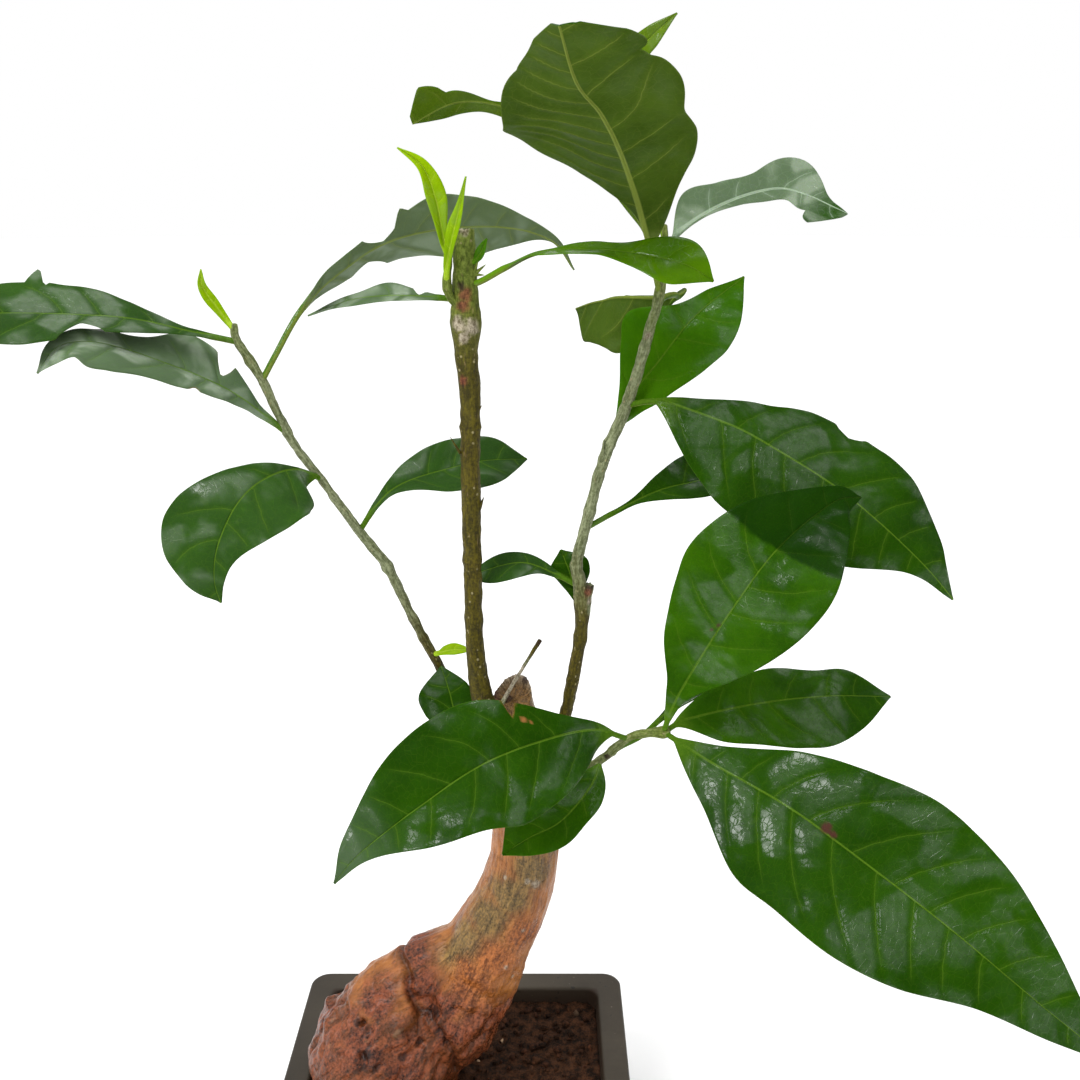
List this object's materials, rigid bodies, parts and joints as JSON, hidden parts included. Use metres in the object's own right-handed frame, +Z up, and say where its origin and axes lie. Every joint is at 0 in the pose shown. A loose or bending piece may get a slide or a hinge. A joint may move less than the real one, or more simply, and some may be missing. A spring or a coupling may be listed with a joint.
{
  "type": "potted baobab bonsai",
  "caption": "Potted young baobab bonsai with a stout leaning trunk, upright pruned stems and glossy pointed leaves.",
  "frame": {"origin": "centre of the pot's underside, on the surface that it stands on", "axes": "+Z up, +X to the plant's right as it is shown, +Y to its back"},
  "size_m": [0.3715, 0.1789, 0.4764],
  "materials": {
    "pot_taupe": "matte",
    "soil_brown": "rough",
    "trunk_bark": "rough bark",
    "stem_bark": "smooth young bark",
    "leaf_green": "glossy leaf",
    "leaf_lime": "glossy young leaf"
  },
  "bodies": {
    "root": {"bud_shoot": "stem_bark", "dry_stalk": "stem_bark", "leaf_bud_short": "leaf_lime", "leaf_bud_tall": "leaf_lime", "leaf_centre_left": "leaf_green", "leaf_centre_right": "leaf_green", "leaf_centre_tiny": "leaf_green", "leaf_front_behind": "leaf_green", "leaf_front_largest": "leaf_green", "leaf_front_left": "leaf_green", "leaf_front_low": "leaf_green", "leaf_front_right": "leaf_green", "leaf_front_up": "leaf_green", "leaf_left_chewed": "leaf_green", "leaf_left_drooping": "leaf_green", "leaf_left_far": "leaf_green", "leaf_left_low": "leaf_lime", "leaf_left_mid": "leaf_green", "leaf_left_tip": "leaf_lime", "leaf_left_twisted": "leaf_green", "leaf_right_back": "leaf_green", "leaf_right_hidden": "leaf_green", "leaf_right_inner": "leaf_green", "leaf_right_large": "leaf_green", "leaf_right_round": "leaf_green", "leaf_right_upright": "leaf_green", "leaf_top_back": "leaf_green", "leaf_top_large": "leaf_green", "leaf_top_twisted": "leaf_green", "leaf_top_young": "leaf_lime", "leaf_trunk_round": "leaf_green", "pot": "pot_taupe", "soil": "soil_brown", "stem_centre": "stem_bark", "stem_front": "stem_bark", "stem_left": "stem_bark", "stem_right": "stem_bark", "trunk": "trunk_bark"}
  },
  "joints": []
}
